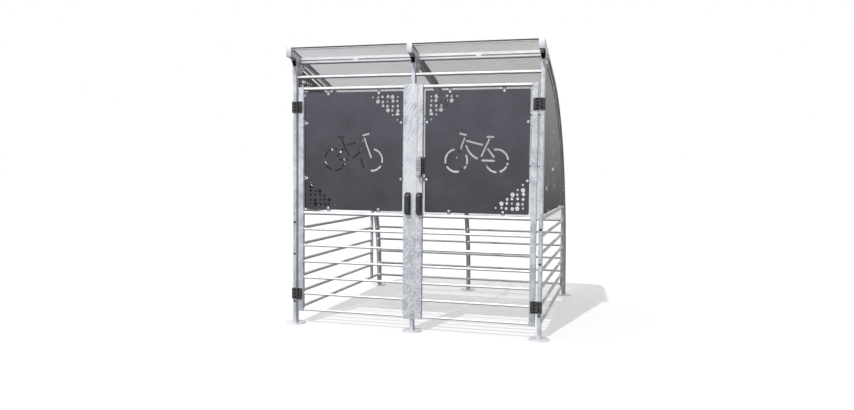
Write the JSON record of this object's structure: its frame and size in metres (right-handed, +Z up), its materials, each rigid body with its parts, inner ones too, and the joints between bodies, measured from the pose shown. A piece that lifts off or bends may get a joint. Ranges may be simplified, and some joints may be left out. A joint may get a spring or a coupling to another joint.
{
  "type": "bike shelter",
  "caption": "Free-standing bike shelter of galvanised tube with a curved sheet roof, perforated panels over level bars, and a pair of hinged front doors.",
  "frame": {"origin": "on the ground, in the middle of the overall box", "axes": "+X along the front to the right, +Y from the doors to the rear, +Z up"},
  "size_m": [2.1598, 2.2929, 2.2377],
  "materials": {
    "galvanised": "hot-dip galvanised, faint spangle",
    "panel": "matt anthracite laminate",
    "roof_sheet": "light grey translucent ribbed sheet",
    "black_plastic": "moulded black polyamide",
    "bright_steel": "satin stainless",
    "dark_trim": "dull dark aluminium"
  },
  "bodies": {
    "frame": {"left_front_post": "galvanised", "centre_front_post": "galvanised", "right_front_post": "galvanised", "left_arch_tube": "galvanised", "centre_arch_tube": "galvanised", "right_arch_tube": "galvanised", "left_arch_band": "galvanised", "centre_arch_band": "galvanised", "right_arch_band": "galvanised", "left_head_bracket": "galvanised", "centre_head_bracket": "galvanised", "right_head_bracket": "galvanised", "front_base_plates": "galvanised", "rear_base_plates": "galvanised", "left_roof_sheet": "roof_sheet", "right_roof_sheet": "roof_sheet", "roof_front_trims": "dark_trim", "roof_purlins": "galvanised", "lintel_tubes": "galvanised", "rear_bars": "galvanised", "left_side_bars": "galvanised", "right_side_bars": "galvanised", "side_uprights": "galvanised", "left_side_panel": "panel", "right_side_panel": "panel", "left_side_lugs": "galvanised", "right_side_lugs": "galvanised", "post_hinge_leaves": "black_plastic", "hinge_pins": "bright_steel"},
    "left_door": {"left_door_hinge_stile": "galvanised", "left_door_meeting_stile": "galvanised", "left_door_cover_plate": "galvanised", "left_door_rails": "galvanised", "left_door_panel": "panel", "left_door_lugs": "galvanised", "left_door_handle": "black_plastic", "left_door_hinge_leaves": "black_plastic"},
    "right_door": {"right_door_hinge_stile": "galvanised", "right_door_meeting_stile": "galvanised", "right_door_rails": "galvanised", "right_door_panel": "panel", "right_door_lugs": "galvanised", "right_door_handle": "black_plastic", "right_door_hinge_leaves": "black_plastic", "door_lock": "bright_steel"}
  },
  "joints": [
    {"name": "left_door_swing", "type": "hinge", "parent": "frame", "child": "left_door", "pos_m": [-0.9765, -1.0425, 1.01], "axis": [0, 0, -1], "range_deg": [0, 180]},
    {"name": "right_door_swing", "type": "hinge", "parent": "frame", "child": "right_door", "pos_m": [0.9765, -1.0425, 1.01], "axis": [0, 0, 1], "range_deg": [0, 180]}
  ]
}
